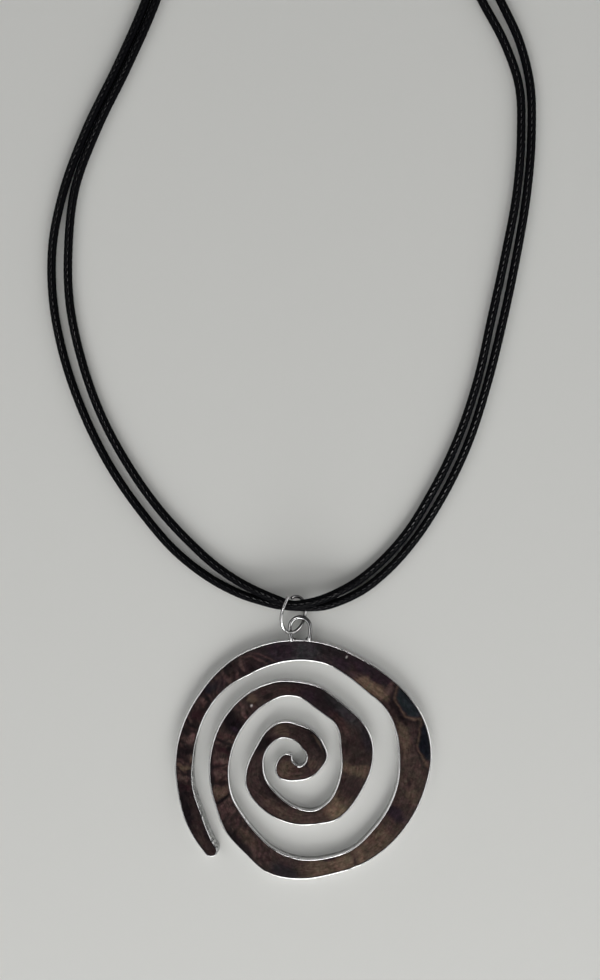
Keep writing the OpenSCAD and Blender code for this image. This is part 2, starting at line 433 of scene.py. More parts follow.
def braidGroup():
    # The same braid as braidHeight, for the shader, with the yarns inside each thread
    tree, given, result = nodeGroup("round braid", {"Around": "Float", "Along": "Float"},
                                    ["Height", "Thread"])
    around, along, threads = given["Around"], given["Along"], cords["threads"]

    def inFour(value):
        return calc("FLOORED_MODULO", value, 4.0)

    climbing = times(threads, plus(around, along))
    falling = times(threads, minus(around, along))
    firstRow, secondRow = calc("FLOOR", climbing), calc("FLOOR", falling)
    climbOnTop = calc("LESS_THAN", inFour(plus(firstRow, secondRow)), 2.0)
    across = between(climbOnTop, 0.0, 1.0, minus(falling, secondRow), minus(climbing, firstRow))
    onClimb = calc("DIVIDE", inFour(plus(falling, firstRow)), 2.0)
    onFall = calc("DIVIDE", minus(inFour(plus(climbing, secondRow)), 2.0), 2.0)
    stretch = between(climbOnTop, 0.0, 1.0, onFall, onClimb)
    thread = times(calc("SINE", times(across, math.pi)),
                   calc("SINE", times(stretch, math.pi)))
    yarns = calc("SINE", times(across, 8 * math.pi))
    feed(result, {"Thread": thread, "Height": plus(thread, times(yarns, 0.12))})
    return tree


def cordMaterial():
    # Black waxed yarn: threads painted a little lighter than the gaps, as painted sheen on the threads and
    # painted shade in the gaps; glossy threads, and wax rubbed bright along the top, which is uneven along
    # the cord and fainter on the left.
    material, tree, shader = newMaterial("waxed black braid")
    pattern, place = axes(patternPlace(tree)), objectPlace(tree)
    braid = placed(tree, braidGroup(), Around=pattern["Y"], Along=pattern["X"])
    thread = braid["Thread"]
    fromTop = calc("ABSOLUTE", minus(pattern["Y"], 0.5))
    topShare = between(fromTop, *cords["topShare"], 1.0, 0.0)
    wax = between(noise(place, 900.0, 3.0), 0.38, 0.6, 0.5, 1.0)
    stretches = between(noise(place, 45.0, 1.0), 0.4, 0.6, 0.5, 1.0)
    fromLeft = between(axes(place)["X"], -0.02, 0.03, 0.5, 1.0)
    top = times(between(thread, 0.4, 0.62), times(topShare, times(wax, stretches)))
    top = calc("MAXIMUM", times(top, fromLeft), times(thread, 0.015))
    feed(shader, {
        # Painted sheen on the threads and painted shade in the gaps between them
        "Base Color": blended("MIX", thread, cords["black"], cords["threadSheen"]),
        "Roughness": between(top, 0.0, 1.0, 0.75, 0.5),
        "Coat Weight": top,
        "Normal": bumped(braid["Height"], 0.00012, 0.7),
        "Specular IOR Level": 0.04,
        "Coat Roughness": 0.24,
        "Coat IOR": 3.0,
    })
    return material


def makeStrand(name, route, material):
    # A strand: a tube whose radius rises on the threads of the braid and falls between them. Both
    # ends go on straight into the clasp's cups.
    into = np.array([cords["intoCup"], 0, 0])
    route = [(*point, cords["lying"])[:3] for point in route]
    route = [np.add(route[0], into), *route, np.subtract(route[-1], into)]
    line, at = smoothLine(route, cords["step"], cords["endHeading"])
    around = np.arange(cords["around"] + 1) / cords["around"]
    turns, lengths = np.meshgrid(around, at / cords["pitch"])
    height = braidHeight(turns[:, :-1], lengths[:, :-1])
    radius = cords["thick"] / 2 + cords["relief"] * (height - cords["gap"])
    rings = closedEnds(tubeRings(line, radius, (0, 0, 1)))
    uv = np.stack([lengths, turns], -1)
    uv = np.concatenate([uv[:1], uv, uv[-1:]])
    strand = skin(name, rings, [material], uv)
    return strand, line, at[-1]


braidBlack = cordMaterial()
innerStrand, innerLine, innerLength = makeStrand("inner_strand", cords["inner"], braidBlack)
outerStrand, outerLine, outerLength = makeStrand("outer_strand", cords["outer"], braidBlack)
print("strands made:", round(innerLength, 1), "and", round(outerLength, 1), "mm")


# Bright metal

def metalMaterial():
    # Polished metal, a little duller where it is worn
    material, tree, shader = newMaterial("polished bright metal")
    polish = placed(tree, handPolish, Vector=objectPlace(tree), Scale=1.0)
    feed(shader, {
        "Base Color": blended("MIX", polish["Wear"], (0.87, 0.87, 0.875, 1), (0.74, 0.735, 0.74, 1)),
        "Roughness": between(polish["Wear"], 0.0, 1.0, 0.1, 0.2),
        "Normal": bumped(polish["Height"], 0.00003, 0.6),
        "Metallic": 1.0,
    })
    return material


def shadedSideWireMaterial():
    # Bright where the wire looks up and is rubbed. Its sides, where it looks sideways and down, are near
    # black: tarnish together with painted shade.
    material, tree, shader = newMaterial("wire with painted shade at its sides")
    polish = placed(tree, handPolish, Vector=objectPlace(tree), Scale=1.0)
    topShare = between(painted(tree, "topShare")["Fac"], 0.76, 0.92)
    feed(shader, {
        # Painted shade: near black, not metallic, wherever the wire looks sideways or down
        "Base Color": blended("MIX", topShare, (0.012, 0.011, 0.01, 1), (0.93, 0.93, 0.935, 1)),
        "Roughness": plus(between(topShare, 0.0, 1.0, 0.35, 0.05), times(polish["Wear"], 0.08)),
        "Metallic": topShare,
        "Normal": bumped(polish["Height"], 0.00003, 0.6),
        "Specular IOR Level": 0.15,
    })
    return material


def asGrey(values):
    # Values as the red, green and blue of a colour whose alpha is 1
    return np.stack([values, values, values, np.ones_like(values)], -1)


def upwardShare(rings, line):
    # 1 at the highest point of each ring, 0 where the tube looks sideways or down: the height of a
    # point above the ring's middle, over that of the ring's highest point.
    out = (rings - line[:, None])[..., 2]
    upward = np.clip(out / out.max(1, keepdims=True), 0, 1)
    upward = np.vstack([0 * upward[:1], upward, 0 * upward[:1]])
    return asGrey(upward)


def roundWire(name, line, radius, upward, material):
    # A tube of a changing radius along a line
    rings = tubeRings(line, np.repeat(radius[:, None], wireAround, 1), upward)
    # The wire's finish turns a low upward share into painted shade
    return skin(name, closedEnds(rings), [material], attributes={"topShare": upwardShare(rings, line)})


brightMetal = metalMaterial()
wireWithShadedSides = shadedSideWireMaterial()
wireAround = 32     # points round a wire


# Clasp: a cup at each end of a barrel

clasp = {
    "middle": (3, 209.5, 2.7),
    "long": 16,
    "cup": (4.5, 2.7),       # length and radius of a cup
    "mouth": (0.8, 2.3),     # depth and radius of the hollow that the strands go into
    "barrel": 2.2,           # radius
    "chamfer": 0.3,          # length of the slope from cup to barrel
    "reach": 0.18,           # rounding of the edges
    "around": 72,            # points round it
}


def makeClasp(part, material):
    # A profile of (place along the axis, radius), turned about the axis
    half, (cupLong, cupWide), (deep, wide) = part["long"] / 2, part["cup"], part["mouth"]
    side = [(deep - half, 0), (deep - half, wide), (-half, wide), (-half, cupWide), (cupLong - half, cupWide),
            (cupLong - half + part["chamfer"], part["barrel"])]
    profile = roundCorners(side + [(-x, r) for x, r in reversed(side)], part["reach"])
    x, radius = profile[:, :1], np.maximum(profile[:, 1:], 0)
    turn = np.linspace(0, 2 * np.pi, part["around"], endpoint=False)
    grid = np.stack(np.broadcast_arrays(x, radius * np.sin(turn), radius * np.cos(turn)), -1)
    return skin("turned_clasp", grid + np.array(part["middle"]), [material])


turnedClasp = makeClasp(clasp, brightMetal)
print("clasp made")


# Jump ring: a leaning ring of round wire, sprung a little open at its cut

jumpRing = {
    "middle": (-2.15, 27.15, 4 * math.sin(math.radians(50)) + 0.35),
    "radius": 4.0,
    "wire": 0.35,           # radius of the wire
    "tilt": 50,             # left side up
    "turn": 10,             # clockwise, seen from above
    "cut": 116,             # where the plain end stops, counted from the low side
    "gap": 0.5,             # width of the cut
    "sprung": (172, 9.0),   # where the other end starts to stand off, and the radius of its bend
    "bevel": 0.05,          # at both ends
}


def makeJumpRing(part, material):
    # A circle in its own plane whose one end runs on along a wider circle, so that it stands off at
    # the cut. The plane is leaned about Y and then turned about Z. The wire's radius shrinks over
    # its last step to a small bevel at the cut.
    lean, turned = math.radians(part["tilt"]), math.radians(-part["turn"])
    flatShare = math.cos(lean)
    sideways = np.array([flatShare * math.cos(turned), flatShare * math.sin(turned), -math.sin(lean)])
    lengthways = np.array([-math.sin(turned), math.cos(turned), 0])
    radius = part["radius"]
    start, wideRadius = math.radians(part["sprung"][0]), part["sprung"][1]
    stop = math.radians(360 + part["cut"])
    wideTurn = (start - stop + 2 * np.pi - part["gap"] / radius) * radius / wideRadius
    plain = radius * circle(np.linspace(start, stop, 200))
    wide = wideRadius * circle(np.linspace(start - wideTurn, start, 40, endpoint=False))
    flat = np.vstack([(radius - wideRadius) * circle(start) + wide, plain])
    line = np.array(part["middle"]) + flat[:, :1] * sideways + flat[:, 1:] * lengthways
    count = np.arange(len(line))
    thick = part["wire"] - part["bevel"] * (np.minimum(count, count[::-1]) < 1)
    return roundWire("wire_jump_ring", line, thick, np.cross(sideways, lengthways), material)


wireRing = makeJumpRing(jumpRing, wireWithShadedSides)
print("jump ring made")


# Wire loop: a horseshoe of wire soldered to the plate's top edge

wireLoop = {
    "middle": (-0.75, 24.15),
    "radius": 2.2,
    "high": 1.5,
    "wire": 0.45,
    "step": 0.08,
    "feet": ((-2.6, 21.1), (1.3, 21.1)),
    "flare": (0.25, 0.5),           # at a foot: how much thicker, as a share, and over what length
    "solder": (0.75, 0.34, 0.46),   # half sizes of the blob at a foot
    "solderPlace": ((-2.45, 21.55), (1.15, 21.6)),
    "lumps": 0.05,                  # unevenness of a blob, as a share
}


def makeWireLoop(part, material):
    # A half circle between two legs that lean in to the feet
    top = np.array(part["middle"]) + part["radius"] * circle(np.radians(np.arange(0, 181, 20)))
    flat = np.vstack([part["feet"][1], top, part["feet"][0]])
    line, at = smoothLine(np.column_stack([flat, np.full(len(flat), part["high"])]), part["step"])
    toFoot = np.minimum(at, at[-1] - at)
    thicker, reach = part["flare"]
    radius = part["wire"] * (1 + thicker * np.exp(-(toFoot / reach) ** 2))
    wire = roundWire("wire", line, radius, (0, 0, 1), material)
    blobs = [makeBlob(place, part, material) for place in part["solderPlace"]]
    return joined("wire_loop", [wire, *blobs])


def makeBlob(place, part, material):
    # An ellipsoid: rows of a sphere's latitudes, stretched to the solder's half sizes
    tall = np.linspace(-np.pi / 2, np.pi / 2, 25)[:, None]
    turn = np.linspace(0, 2 * np.pi, 40, endpoint=False)[None]
    flat = np.cos(tall)
    ball = np.stack(np.broadcast_arrays(flat * np.cos(turn), flat * np.sin(turn), np.sin(tall)), -1)
    uneven = 1 + part["lumps"] * np.sin(3 * turn + 1)[..., None] * flat[..., None]
    grid = ball * uneven * np.array(part["solder"]) + np.array([*place, part["high"]])
    # The blob's upward share, which the wire's finish turns into painted shade on its lower sides
    return skin("solder", grid, [material], attributes={"topShare": asGrey(np.clip(ball[..., 2], 0, 1))})


loopOfWire = makeWireLoop(wireLoop, wireWithShadedSides)
print("wire loop made")


# Spiral: a flat band that winds outwards round the eye, with a brown polished face in a bright rim

spiral = {
    "eye": (-0.75, -4.3),
    "thick": 2.0,
    "rim": 0.35,          # width of the bright rim
    "tip": 0.4,           # how far the inner end is rounded out
    "tail": 1.8,          # how far the outer end is rounded out
    "groove": 0.09,       # depth of the groove between the face and the rim
    "bead": (0.36, 0.32), # crest of the rim's bead as a share of its width, and its fall to the wall
    "lean": 25,           # degrees: where the bead's outer arc starts
    "bottomEdge": 0.12,   # rounding of the edges below
    "crown": 0.07,        # rise of the face towards its middle
    "swell": 0.018,       # soft waves of the face
    "edgeFall": (0.05, 0.02),  # fall of the face at its edges, and over what share of its width
    "uneven": 0.02,       # small unevenness of the rim
    "slopeFrom": 0.22,    # share of the rim's width where the filed slope starts
    "slopeWaves": 0.25,   # unevenness of the slope, as a share of its fall
    "brightStrips": 7,    # strips between the face and the slope that stay polished
    "wallTop": 0.05,      # least distance from the wall's highest ring to the rim above it
    # Place across of the rim and of the wall: first the inner side, then the outer
    "beside": ((-0.05, -0.2), (1.05, 1.2)),
    "step": 0.27,         # between two sections, along the band
    # Inner edge towards the tail: turned angle, width of the rim, how far it slopes down
    "bevel": [
        (172, 0.35, 0), (1245, 0.35, 0), (1262, 0.5, 0.4), (1278, 0.85, 0.9), (1290, 1, 1.1),
        (1306, 1.05, 1.15),
    ],
    # Burrs left on the rim: turned angle, side (0 inner, 1 outer), height, half length
    "burrs": [
        (628, 0, 0.16, 0.3), (626, 1, 0.12, 0.3), (643, 1, 0.14, 0.5), (705, 1, 0.12, 0.3),
        (1232, 0, 0.12, 0.4), (1250, 0, 0.14, 0.3), (1013, 1, 0.1, 0.4), (985, 0, 0.12, 0.5),
        (1204, 1, 0.1, 0.3),
    ],
    # Sections: turned angle, radius of the face's inner edge, radius of its outer edge
    "sections": [
        (172, 2, 3.2), (180, 2, 4), (210, 2.1, 6), (225, 2.1, 6.3), (240, 2.2, 5.8), (270, 2.3, 5),
        (330, 1.8, 5.1), (360, 1.7, 5.8), (390, 1.7, 5.7), (435, 2.1, 6.4), (450, 2.7, 6.8),
        (480, 4.8, 8.6), (495, 6, 9), (525, 7.5, 9.6), (540, 8.1, 10.6), (555, 8.6, 12.1),
        (570, 9.1, 13.4), (600, 9.9, 14.1), (630, 11.7, 14.8), (645, 12.4, 15.1), (660, 12, 15.8),
        (690, 10.2, 15.3), (720, 9.3, 15.9), (735, 9.4, 16), (750, 10.2, 15.5), (765, 10.8, 14.9),
        (780, 10.9, 15), (795, 11.6, 15.8), (810, 13.2, 16.3), (825, 14, 17.1), (840, 14, 17.6),
        (870, 14.3, 18.5), (900, 15.5, 19.6), (930, 17.5, 21.3), (945, 18.2, 23), (960, 19.5, 24.2),
        (975, 21.4, 26.3), (990, 22.7, 26.7), (1005, 23.2, 26.6), (1020, 23.5, 27.1), (1035, 22.9, 27.5),
        (1065, 22.4, 28.2), (1080, 22, 28.7), (1095, 22, 28.4), (1110, 21.7, 27.2), (1125, 20.7, 25.9),
        (1140, 20.8, 25.2), (1155, 21.4, 25.3), (1200, 21.4, 25.9), (1215, 22.2, 25.9), (1230, 22.8, 26),
        (1260, 23.5, 27.2), (1275, 24.3, 27.7), (1290, 24.8, 28.8), (1306, 26.7, 29.6),
    ],
}

# Colours that the face shows, as a picture has them
paints = {
    "ink": (22, 17, 19), "deep": (36, 28, 30), "dark": (44, 34, 33), "umber": (53, 42, 40),
    "brown": (62, 50, 45), "olive": (72, 59, 51), "fawn": (84, 69, 58), "tan": (106, 88, 72),
    "rust": (60, 42, 40), "rose": (82, 63, 60), "wine": (40, 24, 27), "violet": (38, 28, 35),
    "slate": (47, 45, 47), "navy": (20, 22, 28), "teal": (31, 35, 38), "paintedGlint": (200, 196, 190),
# paintedGlint is the white of painted highlights
}

# Ground colour along the band, at a turned angle
tones = [
    (195, "umber"), (212, "olive"), (232, "olive"), (255, "brown"), (300, "umber"), (330, "brown"),
    (352, "umber"), (385, "dark"), (450, "dark"), (470, "umber"), (490, "umber"), (505, "dark"),
    (535, "dark"), (550, "umber"), (590, "umber"), (610, "brown"), (650, "brown"), (670, "olive"),
    (690, "umber"), (710, "brown"), (730, "dark"), (750, "umber"), (765, "deep"), (800, "deep"),
    (820, "dark"), (850, "umber"), (868, "dark"), (890, "umber"), (915, "rust"), (930, "umber"),
    (950, "dark"), (970, "umber"), (985, "brown"), (1005, "fawn"), (1035, "olive"), (1050, "umber"),
    (1068, "brown"), (1090, "umber"), (1115, "dark"), (1130, "umber"), (1145, "deep"), (1170, "slate"),
    (1190, "deep"), (1208, "umber"), (1225, "dark"),
]

# Marks on the face: turned angle, place across (0 at the inner edge), half length in mm, half width as a
# share, colour, strength, and for some the lean in mm from the inner edge to the outer
faceMarks = [
    (174, 0.5, 0.6, 0.7, "ink", 0.5), (205, 0.5, 1.1, 0.35, "fawn", 0.5),
    (255, 0.25, 2, 0.3, "rust", 0.4), (304, 0.12, 0.4, 0.4, "ink", 0.8),
    (328, 0.4, 1.2, 0.3, "fawn", 0.35), (395, 0.95, 2.8, 0.42, "ink", 0.9),
    (398, 0.84, 1.9, 0.07, "olive", 0.6), (398, 1, 1.6, 0.07, "slate", 0.8),
    (486, 0.5, 1.5, 0.45, "olive", 0.8), (521, 0.6, 2.2, 0.9, "ink", 0.85, 0.7),
    (590, 0.08, 8, 0.25, "ink", 0.65), (605, 0.6, 4, 0.2, "olive", 0.5),
    (640, 0.3, 2, 0.3, "umber", 0.5), (662, 0.6, 1.9, 0.5, "tan", 0.75, 1.2),
    (669, 0.3, 0.9, 0.3, "tan", 0.5, 0.8), (688, 0.5, 2.2, 0.9, "dark", 0.75, 0.9),
    (706, 0.55, 1.2, 0.9, "fawn", 0.8, 0.3), (717, 0.7, 1.6, 0.5, "ink", 0.4, 0.5),
    (735, 0.9, 2.5, 0.2, "navy", 0.6), (766, 0.8, 5, 0.3, "slate", 0.7),
    (758, 0.25, 4, 0.2, "rust", 0.6), (785, 0.65, 3, 0.35, "ink", 0.45),
    (803, 0.3, 2, 0.4, "violet", 0.6), (816, 0.95, 4, 0.15, "ink", 0.7),
    (820, 0.4, 2.4, 0.2, "rust", 0.4), (838, 0.3, 1.2, 0.2, "ink", 0.6),
    # The paintedGlint mark at 855 is a painted highlight: a small white glint on the face
    (849, 0.65, 1.1, 0.35, "fawn", 0.65, 0.4), (855, 0.38, 0.2, 0.08, "paintedGlint", 0.9),
    (861, 0.6, 0.4, 0.6, "rose", 0.8, -1.8), (873, 0.5, 1.9, 1, "ink", 1, -1.4),
    (877, 0.25, 0.5, 0.25, "violet", 0.9), (884, 0.5, 0.7, 0.7, "rust", 0.6),
    (889, 0.5, 0.3, 0.8, "ink", 0.8, -1.2), (895, 0.45, 0.45, 0.7, "wine", 0.9, -1.4),
    (894, 0.15, 0.5, 0.2, "ink", 0.9), (902, 0.5, 0.4, 0.6, "rose", 0.6, -0.8),
    (906, 0.4, 0.3, 0.7, "ink", 0.7, 0.6), (910, 0.97, 4, 0.22, "ink", 0.95),
    (912, 0.5, 1.2, 0.4, "rose", 0.5), (919, 0.5, 0.3, 0.7, "ink", 0.8),
    (924, 0.5, 1.1, 0.5, "fawn", 0.7), (929, 0.5, 0.4, 0.7, "ink", 0.95, 0.6),
    (932, 0.35, 0.4, 0.5, "rose", 0.6, 0.6), (936, 0.6, 0.7, 0.6, "rose", 0.5, -1.8),
    (953, 0.92, 3.6, 0.22, "ink", 0.9), (958, 0.4, 3.2, 0.25, "fawn", 0.4),
    (966, 0.6, 1.2, 0.3, "rose", 0.35, -1.2), (982, 0.76, 3.4, 0.4, "navy", 0.75),
    (985, 0.25, 2.6, 0.25, "violet", 0.4), (1000, 0.55, 2.8, 0.6, "fawn", 0.7),
    (1012, 0.6, 1.8, 0.5, "tan", 0.35, -0.5), (1006, 0.07, 1.8, 0.12, "violet", 0.8),
    (1018, 0.75, 0.4, 0.35, "ink", 0.6, -1.2), (1022, 0.55, 0.7, 0.45, "tan", 0.5, -1),
    (1034, 0.5, 3, 0.6, "fawn", 0.55), (1041, 0.5, 0.5, 0.6, "umber", 0.6),
    (1049, 0.35, 1.4, 0.55, "violet", 0.95), (1061, 0.7, 1.5, 0.3, "fawn", 0.5, -0.7),
    (1066, 0.35, 1.2, 0.08, "ink", 0.6, -0.6), (1090, 0.2, 5, 0.2, "fawn", 0.7),
    (1107, 0.34, 5, 0.17, "ink", 0.75), (1125, 0.24, 4.8, 0.3, "tan", 0.7),
    (1129, 0.8, 5.5, 0.36, "violet", 0.75), (1117, 0.72, 0.7, 0.4, "rose", 0.7, 0.8),
    (1134, 0.45, 1.2, 0.5, "violet", 0.6, -3), (1146, 0.35, 2.2, 0.3, "violet", 0.7),
    # The paintedGlint mark at 1145 is a painted highlight: a small white glint on the face
    (1145, 0.8, 0.07, 0.1, "paintedGlint", 0.5, 0.5), (1156, 0.75, 2.8, 0.35, "ink", 0.55),
    (1166, 0.45, 2.4, 0.5, "slate", 0.7), (1180, 0.5, 3, 0.7, "violet", 0.7),
    (1190, 0.4, 0.3, 0.6, "rose", 0.5, 6), (1194, 0.5, 0.4, 0.6, "rose", 0.6, 5.5),
    (1199, 0.18, 0.9, 0.3, "ink", 0.85, 0.8), (1203, 0.5, 0.4, 0.45, "rose", 0.6, -2.2),
    (1208, 0.85, 1.6, 0.2, "ink", 0.6), (1213, 0.35, 0.5, 0.3, "rose", 0.5, -1),
    (1218, 0.4, 1.6, 0.35, "violet", 0.5), (1223, 0.75, 1.2, 0.35, "navy", 0.8),
    (1230, 0.6, 0.5, 0.4, "rose", 0.6, 1), (1206, 0.3, 0.4, 0.7, "ink", 0.8, 1.6),
    (1211, 0.7, 0.5, 0.4, "ink", 0.8, -1.4), (1227, 0.4, 0.35, 0.8, "ink", 0.9, -1.8),
    (1237, 0.45, 1.2, 0.4, "wine", 1), (1232, 0.12, 1.4, 0.16, "ink", 0.8),
    (1243, 0.5, 0.35, 0.9, "ink", 0.9, -1.6), (1247, 0.7, 0.8, 0.3, "ink", 0.7),
    (1251, 0.25, 1.2, 0.24, "rose", 0.95), (1257, 0.6, 1.3, 0.7, "ink", 0.85, 0.6),
    (1265, 0.5, 0.55, 0.7, "fawn", 0.9, -1), (1262, 0.1, 0.9, 0.14, "fawn", 0.6),
    (1269, 0.08, 1.3, 0.2, "ink", 0.8), (1271, 0.6, 0.7, 0.4, "rose", 0.9, -0.9),
    (1275, 0.6, 0.6, 0.6, "wine", 1, -0.9), (1278, 0.35, 0.8, 0.4, "ink", 0.7, -0.9),
    (1279, 0.85, 4.5, 0.5, "ink", 0.6), (1286, 0.88, 4.4, 0.5, "ink", 1),
    (1297, 0.6, 2.2, 0.3, "umber", 0.4), (1301, 0.5, 1, 0.3, "brown", 0.4),
    (1300, 0.1, 2, 0.2, "ink", 0.6),
]

# Pools: dark patches at the outer edge. Two lines go round each: paint, strength, place and width,
# where 1 is the pool's own edge
pools = [(1086, 1.02, 4, 0.33, "navy"), (1106, 1.02, 3.5, 0.5, "teal")]
poolLines = [("ink", 0.6, 1.36, 0.1), ("fawn", 0.7, 1.16, 0.065)]

# Where the fade of a mark and of a pool ends, and how wide it is, where 1 is the ellipse itself
markFade, poolFade = (1.25, 0.6), (1.1, 0.16)
markWarp = (0.3, 0.04)     # how far the ripple moves a stain's edge, in mm along and as a share across
# Painted shade along both edges of the face, where the face curves down and would reflect darker
innerPaintedShade, outerPaintedShade = (0.35, 0.03), (0.75, 0.035)    # dark edges of the face: strength and reach

# Cross ripples: turned angles from and to, pitch and lean in mm, strength
crossRipples = [
    (880, 926, 1.9, 1.4, 0.5), (1200, 1245, 1.7, -2.4, 0.6), (845, 866, 1.6, -1, 0.45),
    (300, 350, 1.5, -1.2, 0.2), (560, 640, 2.1, 1.6, 0.12), (990, 1045, 2.3, -1.4, 0.16),
    (930, 975, 2, 2.6, 0.4), (1245, 1282, 1.6, -2.2, 0.55), (1150, 1190, 1.8, 3, 0.25),
]


def curveThrough(table, at):
    # Columns of a table at the given angles: a cubic between two rows that keeps the slope at each,
    # and a row's slope is that from the row before it to the row after it.
    table = np.array(table, float)
    angle, values = table[:, 0], table[:, 1:]
    count = np.arange(len(table))
    before, after = np.maximum(count - 1, 0), np.minimum(count + 1, count[-1])
    slope = (values[after] - values[before]) / (angle[after] - angle[before])[:, None]
    row = np.clip(np.searchsorted(angle, at, side="right") - 1, 0, len(table) - 2)
    span = (angle[row + 1] - angle[row])[:, None]
    t = (np.asarray(at, float) - angle[row])[:, None] / span
    return cubic(t, values[row], values[row + 1], span * slope[row], span * slope[row + 1]).T


def bandSections(part):
    # Four lines that run along the band, in the order inner plate edge, inner face edge, outer face
    # edge, outer plate edge, with the distance along the band. Sections lie at equal distances, and
    # at both ends they close in as half an ellipse.
    first, last = part["sections"][0][0], part["sections"][-1][0]
    fine = np.linspace(first, last, 6000)
    inner, outer = curveThrough(part["sections"], fine)
    middle = (inner + outer) / 2
    run = np.concatenate([[0], np.cumsum(np.hypot(np.diff(middle), middle[1:] * np.radians(np.diff(fine))))])
    count = round(run[-1] / part["step"]) + 1
    angle = np.interp(np.linspace(0, run[-1], count), run, fine)
    inner, outer = curveThrough(part["sections"], angle)
    bevel = np.interp(angle, *np.array(part["bevel"])[:, :2].T)
    radii = np.stack([inner - part["rim"], inner - part["rim"] + bevel, outer, outer + part["rim"]], 1)
    outward = circle(np.radians(angle))
    ahead = outward[:, ::-1] * (-1, 1)
    along = radii[..., None] * outward[:, None]
    close = np.radians(np.linspace(0, 90, 16)[1:])[:, None]
    ends = []
    for row, bulge in ((0, -part["tip"]), (-1, part["tail"])):
        edges, mirrored = radii[row], radii[row][::-1]
        rimLong = min(part["rim"], 0.8 * abs(bulge)) * np.sign(bulge)
        across = (edges + mirrored) / 2 + (edges - mirrored) / 2 * np.cos(close)
        past = np.sin(close) * np.array([bulge, bulge - rimLong, bulge - rimLong, bulge])
        ends.append(across[..., None] * outward[row] + past[..., None] * ahead[row])
    lines = np.concatenate([ends[0][::-1], along, ends[1]])
    centre = lines.mean(1)
    distance = np.concatenate([[0], np.cumsum(np.linalg.norm(np.diff(centre, axis=0), axis=1))])
    return lines, distance - distance[len(close)], run, fine


def linear(name):
    # A paint as light: ((c + 0.055) / 1.055) to the power 2.4, with c from 0 to 1
    return ((np.array(paints[name]) / 255 + 0.055) / 1.055) ** 2.4


def faceColours(part, distance, across, run, fine):
    # Ground colour along the band, with every mark laid over it. A mark is an ellipse whose edge
    # is softened and made uneven by the ripple.
    ground = np.array([(angle, *linear(name)) for angle, name in tones])
    angleHere = np.interp(distance, run, fine)
    colour = np.stack([np.interp(angleHere, ground[:, 0], ground[:, k + 1]) for k in range(3)], -1)[:, None]
    colour = np.repeat(colour, len(across), 1)
    s, v = np.meshgrid(distance, across, indexing="ij")
    sWarp = s + markWarp[0] * ripple(s, v * 4, 3, 9, 1.6)
    vWarp = v + markWarp[1] * ripple(s, v * 4, 4, 9, 1.6)

    def away(angle, place, long, wide, lean=0):
        along = sWarp - np.interp(angle, fine, run) - lean * (v - 0.5)
        return np.hypot(along / long, (vWarp - place) / wide)

    def faded(out, end, wide):
        return np.clip((end - out) / wide, 0, 1)

    def lay(paint, cover):
        nonlocal colour
        colour = colour * (1 - cover[..., None]) + linear(paint) * cover[..., None]

    for start, stop, pitch, lean, strength in crossRipples:
        begin, end = np.interp([start, stop], fine, run)
        inside = np.clip(s - begin, 0, 1) * np.clip(end - s, 0, 1)
        wave = 0.5 + 0.5 * np.sin(2 * np.pi * (sWarp - lean * v + 0.4 * ripple(s, v * 4, 6, 7, 2)) / pitch)
        lay("ink", inside * strength * wave**2)
        lay("rose", inside * strength * 0.6 * (1 - wave) ** 3)
    for *ellipse, paint, strength, lean in [(*faceMark, 0)[:7] for faceMark in faceMarks]:
        lay(paint, strength * faded(away(*ellipse, lean), *markFade))
    for *ellipse, paint in pools:
        out = away(*ellipse)
        for linePaint, strength, place, wide in poolLines:
            lay(linePaint, strength * np.exp(-(((out - place) / wide) ** 2)))
        lay(paint, faded(out, *poolFade))
    # Painted shade: the face is laid over with ink towards both its edges, more at the outer one
    edge = outerPaintedShade[0] * np.exp(-(1 - v) / outerPaintedShade[1]) + innerPaintedShade[0] * np.exp(-v / innerPaintedShade[1])
    lay("ink", np.clip(edge, 0, 1))
    return colour


